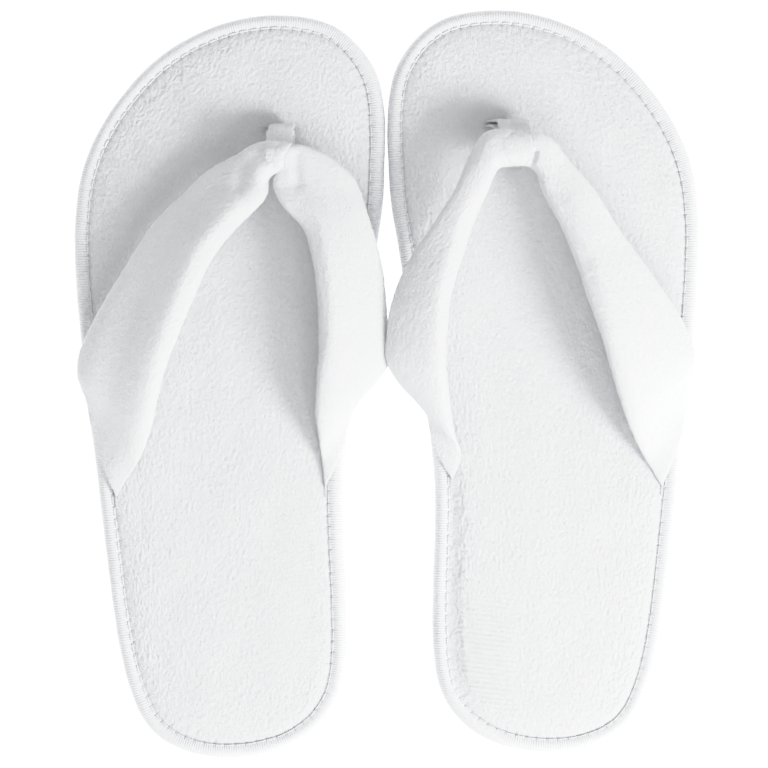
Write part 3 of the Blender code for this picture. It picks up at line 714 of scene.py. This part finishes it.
def swollen(grid, stops):
    """An arm's cover after its padding has pushed it out: cloth under pressure, held at its two ends."""
    picked = np.round(np.linspace(0, len(grid) - 1, len(grid) // SIM_COARSER)).astype(int)
    rest = grid[picked][:, ::SIM_COARSER]
    rings, around = rest.shape[:2]
    mesh = bpy.data.meshes.new("cloth")
    mesh.from_pydata((rest.reshape(-1, 3) * SIM_UNIT).tolist(), [], tube_faces(rings, around))
    face_outwards(mesh)
    cover = bpy.data.objects.new("cloth", mesh)
    bpy.context.scene.collection.objects.link(cover)
    held = cover.vertex_groups.new(name="held")
    end = stops[-1]
    grip = 1 - (stops[picked] > SIM_ROOT[0]) * (end - stops[picked] > SIM_END[0])
    for ring, weight in enumerate(grip):
        held.add(list(range(ring * around, (ring + 1) * around)), float(weight), "REPLACE")
    cloth = cover.modifiers.new("cloth", "CLOTH")
    for setting, value in SIM_CLOTH.items():
        setattr(cloth.settings, setting, value)
    cloth.settings.vertex_group_mass = "held"
    cloth.settings.effector_weights.gravity = 0
    cloth.point_cache.frame_end = SIM_FRAMES
    for frame_number in range(1, SIM_FRAMES + 1):
        bpy.context.scene.frame_set(frame_number)
    shape = cover.evaluated_get(bpy.context.evaluated_depsgraph_get()).data
    pushed = np.zeros(len(shape.vertices) * 3, np.float32)
    shape.vertices.foreach_get("co", pushed)
    bpy.data.objects.remove(cover)
    bpy.context.scene.frame_set(1)
    move = pushed.reshape(rest.shape) / SIM_UNIT - rest
    length = np.linalg.norm(move, axis=2, keepdims=True)
    move *= np.minimum(1, SIM_CAP / np.maximum(length, 1e-9))
    # Evened out between neighbours, along and around
    move[1:-1] = (move[:-2] + 2 * move[1:-1] + move[2:]) / 4
    move = (np.roll(move, 1, axis=1) + 2 * move + np.roll(move, -1, axis=1)) / 4
    eased = soft_step(stops, *SIM_ROOT) * soft_step(end - stops, *SIM_END)
    return grid + eased[:, None, None] * finer(move, picked, grid.shape)


def finer(field, picked, shape):
    """A field over some rings and points of an arm, as a smooth field over all of them."""
    rings, around = field.shape[:2]
    along = open_curve(field.reshape(rings, -1), picked.astype(float), np.arange(shape[0]))
    along = along.reshape(shape[0], around, 3).transpose(1, 0, 2).reshape(around, -1)
    wrapped = np.concatenate([along[-2:], along, along[:3]])
    knots = np.arange(-2.0, around + 3) * SIM_COARSER
    return open_curve(wrapped, knots, np.arange(shape[1])).reshape(shape[1], shape[0], 3).transpose(1, 0, 2)


def creased(grid, creases):
    """An arm's points pushed down along its creases."""
    points = grid.reshape(-1, 3).copy()
    middle_height = np.repeat(grid[..., 2].mean(axis=1), grid.shape[1])
    on_top = soft_step(points[:, 2] - middle_height, -1.5, 1.5)
    for run, reach, depth in creases:
        run = np.array(run, float)
        nearest = np.full(len(points), 1e9)
        for start, end in zip(run, run[1:]):
            along = end - start
            t = np.clip(((points[:, :2] - start) @ along) / (along @ along), 0, 1)
            gap = np.linalg.norm(points[:, :2] - start - t[:, None] * along, axis=1)
            nearest = np.minimum(nearest, gap)
        points[:, 2] -= depth * on_top * np.exp(-((nearest / reach) ** 2))
    return points.reshape(grid.shape)


def tube_faces(rings, around):
    """Quads and end caps of an arm."""
    faces = [list(face) for face in grid_faces(rings, around, True)]
    last = (rings - 1) * around
    return faces + [list(range(around))[::-1], list(range(last, last + around))]


def arm_nap(grid, stops, seed):
    """How far the nap and the slack of an arm's cover stand out at each of its points."""
    around = grid.shape[1]
    girth = np.linalg.norm(np.diff(grid, axis=1), axis=2).sum(axis=1)
    share = np.arange(around) / around
    u = share[None, :] * girth[:, None]
    v = stops[:, None] + np.zeros((1, around))
    cloth = 0.55 * fleece(u, v / 1.6, seed)
    cloth = cloth + 0.16 * lattice(u / 15, v / 19, seed + 5) + 0.06 * lattice(u / 5, v / 8, seed + 6)
    from_seam = soft_step(share, 0.0, 0.06) * soft_step(1 - share, 0.0, 0.06)
    return (cloth * from_seam[None, :] * soft_step(v, 2, 9)).ravel()


def make_arm(slipper, arm, cover_material, filling_material):
    """One arm of the strap: its fleece cover, and the foam inside."""
    side_sign = ARM_SIDES[arm]
    rows, stops = smooth_arm(slipper.side, arm, ARM_STEP)
    rolled = ROLLED.get((slipper.side, arm))
    grid = arm_grid(rows, stops, side_sign, ARM_AROUND, rolled)
    grid = swollen(grid, stops)
    grid = creased(grid, CREASES[slipper.side, arm])
    nap = arm_nap(grid, stops, slipper.seed + (60 if arm == "outer" else 80))
    faces = tube_faces(len(rows), ARM_AROUND)
    points = grid.reshape(-1, 3)
    made = slipper.piece(arm + "_arm", points, faces, cover_material, "fleece", [arm + "_strap_cover"], nap)
    rows, stops = smooth_arm(slipper.side, arm, FILLING_STEP)
    rows, stops = rows[FILLING_TRIM:-1], stops[FILLING_TRIM:-1]
    points = arm_grid(rows, stops, side_sign, FILLING_AROUND, rolled, FILLING_SHRINK).reshape(-1, 3)
    faces = tube_faces(len(rows), FILLING_AROUND)
    stands_for = [arm + "_strap_padding"]
    made = slipper.piece(arm + "_filling", points, faces, filling_material, "strap_foam", stands_for)


def make_tack(slipper, arm, material):
    """The bar of thread that locks the strap's rear corner: a tight zigzag."""
    begin = ROOTS[slipper.side, arm][0] - TACK_BACK
    knots = []
    for k in range(TACK_PASSES * 2 + 1):
        along = begin - TACK_LENGTH / 2 + TACK_LENGTH * k / (TACK_PASSES * 2)
        inset = TACK_INSET + (TACK_SWING if k % 2 else -TACK_SWING)
        knots.append(rim_point(ARM_SIDES[arm], along, inset, TACK_HEIGHT))
    path = evenly_spaced(np.array(knots), TACK_PASSES * 24, closed=False)
    points, faces = tube(path, THREAD_RADIUS, 8, False)
    slipper.piece(arm + "_tack", points, faces, material, "thread", [arm + "_strap_tack"])


def make_toe_loop(slipper, material):
    """The fabric loop: a folded ribbon up the front of the post, round the arms and down the back."""
    shape = LOOPS[slipper.side]
    knots = walked_along(np.array(LOOP_PATH))
    path = open_curve(np.array(LOOP_PATH), knots, np.linspace(0, knots[-1], LOOP_RINGS))
    path = evenly_spaced(path, LOOP_RINGS, closed=False)
    height = path[:, 1]
    reach = shape["front"] - shape["rear"]
    fitted = shape["rear"] + (path[:, 0] - LOOP_REAR) / (LOOP_FRONT - LOOP_REAR) * reach
    path[:, 0] += (fitted - path[:, 0]) * soft_step(height, 19.5, 24.0)
    rise = soft_step(height, 9.5, 19.0)
    spread = soft_step(height, 12.0, 23.0)
    behind = (shape["front"] - path[:, 0]) / reach * soft_step(height, 24.0, 29.0)
    low, high = (
        POST_FOOT[k] * (1 - rise)
        + rise * (shape["post"][k] * (1 - spread) + shape["band"][k] * spread)
        + shape["bias"][k] * behind
        for k in (0, 1)
    )
    ahead = np.gradient(path, axis=0)
    ahead /= np.linalg.norm(ahead, axis=1)[:, None]
    out = np.stack([-ahead[:, 1], ahead[:, 0]], axis=1)
    turns = np.linspace(0, 2 * math.pi, 201)
    flat = np.column_stack([rounded(np.cos(turns), 0.6), rounded(np.sin(turns), 0.8)])
    rings = []
    for k in range(len(path)):
        half = (high[k] - low[k]) / 2
        thickness = POST_THICKNESS + (LOOP_THICKNESS - POST_THICKNESS) * spread[k]
        section = evenly_spaced((flat * (half, thickness / 2))[:-1], LOOP_AROUND)
        fray = shape["fray"] * lattice(np.full(LOOP_AROUND, k / 1.3), section[:, 0] / 2, slipper.seed + 91)
        fray = fray * soft_step(np.abs(section[:, 0]) / half, 0.8, 1.0) * np.sign(section[:, 0]) * spread[k]
        x = (high[k] + low[k]) / 2 + section[:, 0] + fray
        y, z = path[k][:, None] + out[k][:, None] * section[None, :, 1]
        rings.append(np.column_stack([x, y, z]))
    grid = np.array(rings)
    v = np.arange(LOOP_RINGS)[:, None] * 0.5 + np.zeros((1, LOOP_AROUND))
    nap = 0.5 * fleece(grid[..., 0] - 0.2 * v, v, slipper.seed + 90)
    nap += 0.22 * lattice(grid[..., 0] / 4, v / 4, slipper.seed + 92)
    faces = tube_faces(LOOP_RINGS, LOOP_AROUND)
    slipper.piece("loop", grid.reshape(-1, 3), faces, material, "fleece", ["toe_loop"], nap.ravel())


# Materials


def node(tree, kind, **inputs):
    """A new shader node with these values on its inputs."""
    made = tree.nodes.new(kind)
    for name, value in inputs.items():
        made.inputs[name.replace("_", " ")].default_value = value
    return made


def base_material(name, roughness, sheen=0.0, sheen_roughness=0.4, subsurface=0.0):
    """A matte material, with its node tree and its shader."""
    material = bpy.data.materials.new(name)
    material.use_nodes = True
    shader = material.node_tree.nodes["Principled BSDF"]
    shader.inputs["Roughness"].default_value = roughness
    shader.inputs["Specular IOR Level"].default_value = 0.25
    shader.inputs["Sheen Weight"].default_value = sheen
    shader.inputs["Sheen Roughness"].default_value = sheen_roughness
    shader.inputs["Subsurface Weight"].default_value = subsurface
    shader.inputs["Subsurface Radius"].default_value = (1.0, 1.0, 1.0)
    shader.inputs["Subsurface Scale"].default_value = SCATTER
    return material, material.node_tree, shader


def noise_between(tree, where, scale, detail, low, high):
    """A colour that wanders between two, at this many bumps to the metre."""
    noise = node(tree, "ShaderNodeTexNoise", Scale=scale, Detail=detail, Roughness=0.6)
    tree.links.new(where, noise.inputs["Vector"])
    ramp = tree.nodes.new("ShaderNodeValToRGB")
    ramp.color_ramp.elements[0].position = 0.3
    ramp.color_ramp.elements[1].position = 0.7
    ramp.color_ramp.elements[0].color = (*low, 1)
    ramp.color_ramp.elements[1].color = (*high, 1)
    tree.links.new(noise.outputs["Fac"], ramp.inputs["Fac"])
    return ramp.outputs["Color"]


def stretched(tree, stretch):
    """The piece's own coordinates, squeezed along each axis."""
    place = tree.nodes.new("ShaderNodeTexCoord")
    mapping = tree.nodes.new("ShaderNodeMapping")
    mapping.inputs["Scale"].default_value = stretch
    tree.links.new(place.outputs["Object"], mapping.inputs["Vector"])
    return mapping.outputs["Vector"]


def bumped(tree, shader, height, distance, strength, under=None):
    """Relief this many metres deep on a shader, over another relief if given."""
    bump = node(tree, "ShaderNodeBump", Strength=strength, Distance=distance)
    tree.links.new(height, bump.inputs["Height"])
    if under is not None:
        tree.links.new(under, bump.inputs["Normal"])
    tree.links.new(bump.outputs["Normal"], shader.inputs["Normal"])
    return bump.outputs["Normal"]


def fleece_material():
    """Brushed coral fleece: matte, faintly cool white, with fibres finer than the mesh."""
    material, tree, shader = base_material("fleece", 0.95, sheen=0.25, sheen_roughness=0.5, subsurface=0.4)
    where = stretched(tree, (1.0, 0.7, 1.0))
    colour = noise_between(tree, where, 900, 3, (0.86, 0.864, 0.876), (0.892, 0.896, 0.906))
    tree.links.new(colour, shader.inputs["Base Color"])
    tufts = node(tree, "ShaderNodeTexNoise", Scale=1500.0, Detail=4.0, Roughness=0.65, Distortion=0.6)
    tree.links.new(where, tufts.inputs["Vector"])
    fibres = node(tree, "ShaderNodeTexNoise", Scale=4200.0, Detail=2.0, Roughness=0.5)
    tree.links.new(where, fibres.inputs["Vector"])
    soft = bumped(tree, shader, tufts.outputs["Fac"], 0.0011, 0.8)
    bumped(tree, shader, fibres.outputs["Fac"], 0.0001, 0.4, soft)
    return material


def tape_material():
    """Woven polyester tape: tight ribs, a little smoother than the fleece."""
    material, tree, shader = base_material("binding_tape", 0.7, sheen=0.15)
    where = stretched(tree, (1.0, 1.0, 1.0))
    colour = noise_between(tree, where, 700, 2, (0.77, 0.775, 0.79), (0.86, 0.863, 0.875))
    tree.links.new(colour, shader.inputs["Base Color"])
    weave = node(tree, "ShaderNodeTexNoise", Scale=3600.0, Detail=2.0, Roughness=0.5)
    tree.links.new(where, weave.inputs["Vector"])
    bumped(tree, shader, weave.outputs["Fac"], 0.00012, 0.5)
    return material


def thread_material():
    """Spun polyester thread."""
    material, tree, shader = base_material("thread", 0.55, sheen=0.1)
    where = stretched(tree, (1.0, 1.0, 1.0))
    colour = noise_between(tree, where, 2400, 2, (0.74, 0.745, 0.76), (0.86, 0.863, 0.87))
    tree.links.new(colour, shader.inputs["Base Color"])
    plies = node(tree, "ShaderNodeTexNoise", Scale=5200.0, Detail=1.0)
    tree.links.new(where, plies.inputs["Vector"])
    bumped(tree, shader, plies.outputs["Fac"], 0.0001, 0.5)
    return material


def sole_material():
    """Moulded EVA: matte, very slightly pebbled."""
    material, tree, shader = base_material("eva", 0.62)
    where = stretched(tree, (1.0, 1.0, 1.0))
    colour = noise_between(tree, where, 160, 3, (0.76, 0.765, 0.775), (0.82, 0.823, 0.83))
    tree.links.new(colour, shader.inputs["Base Color"])
    pebbles = node(tree, "ShaderNodeTexVoronoi", Scale=1500.0)
    tree.links.new(where, pebbles.inputs["Vector"])
    bumped(tree, shader, pebbles.outputs["Distance"], 0.00015, 0.4)
    return material


def foam_material(name):
    """Open-cell foam."""
    material, tree, shader = base_material(name, 0.9)
    where = stretched(tree, (1.0, 1.0, 1.0))
    colour = noise_between(tree, where, 500, 3, (0.76, 0.74, 0.68), (0.86, 0.85, 0.80))
    tree.links.new(colour, shader.inputs["Base Color"])
    cells = node(tree, "ShaderNodeTexVoronoi", Scale=1800.0)
    tree.links.new(where, cells.inputs["Vector"])
    bumped(tree, shader, cells.outputs["Distance"], 0.0003, 0.7)
    return material


def finish_cad_node(name, material):
    """A CAD node that stays as it is, in the scene's own material."""
    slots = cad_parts[name].data.materials
    slots.clear()
    slots.append(material)


# The studio


def make_floor():
    """A plain white floor, lit from within so that it shows as white."""
    mesh = bpy.data.meshes.new("floor")
    around = [(-1, -1), (1, -1), (1, 1), (-1, 1)]
    mesh.from_pydata([(x * FLOOR_HALF, y * FLOOR_HALF, -FLOOR_DROP) for x, y in around], [], [(0, 1, 2, 3)])
    material = bpy.data.materials.new("floor")
    material.use_nodes = True
    shader = material.node_tree.nodes["Principled BSDF"]
    shader.inputs["Base Color"].default_value = (FLOOR_COLOUR, FLOOR_COLOUR, FLOOR_COLOUR, 1)
    shader.inputs["Roughness"].default_value = 1.0
    shader.inputs["Specular IOR Level"].default_value = 0.0
    shader.inputs["Emission Color"].default_value = (1, 1, 1, 1)
    shader.inputs["Emission Strength"].default_value = FLOOR_GLOW
    mesh.materials.append(material)
    floor = bpy.data.objects.new("floor", mesh)
    bpy.context.scene.collection.objects.link(floor)


def add_lamp(name, azimuth, elevation, distance, size, energy):
    """A round lamp that looks at the middle of the pair."""
    azimuth, elevation = math.radians(azimuth), math.radians(elevation)
    level = math.cos(elevation)
    away = Vector((level * math.cos(azimuth), level * math.sin(azimuth), math.sin(elevation)))
    lamp = bpy.data.lights.new(name, "AREA")
    lamp.shape = "DISK"
    lamp.size = size
    lamp.energy = energy
    placed = bpy.data.objects.new(name, lamp)
    placed.location = away * distance
    placed.rotation_euler = away.to_track_quat("Z", "Y").to_euler()
    bpy.context.scene.collection.objects.link(placed)


def make_light():
    """The lamps, a bright white room and the tone."""
    for name, lamp in LAMPS.items():
        add_lamp(name, *lamp)
    world = bpy.data.worlds.new("room")
    world.use_nodes = True
    world.node_tree.nodes["Background"].inputs["Color"].default_value = ROOM_COLOUR
    world.node_tree.nodes["Background"].inputs["Strength"].default_value = ROOM_LIGHT
    bpy.context.scene.world = world
    set_tone()


def set_tone():
    """Highlights that ease off before they reach the white of the floor."""
    view = bpy.context.scene.view_settings
    view.view_transform = "Standard"
    view.use_curve_mapping = True
    mapping = view.curve_mapping
    mapping.extend = "EXTRAPOLATED"
    mapping.white_level = (TONE_TOP, TONE_TOP, TONE_TOP)
    curve = mapping.curves[3]
    for light, shown in TONES:
        curve.points.new(light / TONE_TOP, shown)
    mapping.update()


def make_camera():
    """Straight above the pair."""
    lens = bpy.data.cameras.new("camera")
    lens.sensor_width = 36
    lens.lens = LENS
    lens.clip_start, lens.clip_end = 0.01, 20
    low, high = CAD_BOX
    camera = bpy.data.objects.new("camera", lens)
    camera.location = ((low[0] + high[0]) / 2 + CAMERA_ASIDE, (low[1] + high[1]) / 2, CAMERA_HEIGHT)
    bpy.context.scene.collection.objects.link(camera)
    bpy.context.scene.camera = camera


def main():
    """Build both slippers, the studio and the camera."""
    white, tape, thread = fleece_material(), tape_material(), thread_material()
    sole, pad, filling = sole_material(), foam_material("pad_foam"), foam_material("strap_foam")
    for side in SIDES:
        slipper = Slipper(side)
        make_outsole(slipper, sole)
        finish_cad_node(side + "_foam_pad", pad)
        make_insole(slipper, white)
        make_tape(slipper, tape)
        make_stitching(slipper, thread)
        for arm in ARM_SIDES:
            make_arm(slipper, arm, white, filling)
            make_tack(slipper, arm, thread)
        make_toe_loop(slipper, white)
    make_floor()
    make_light()
    make_camera()


main()
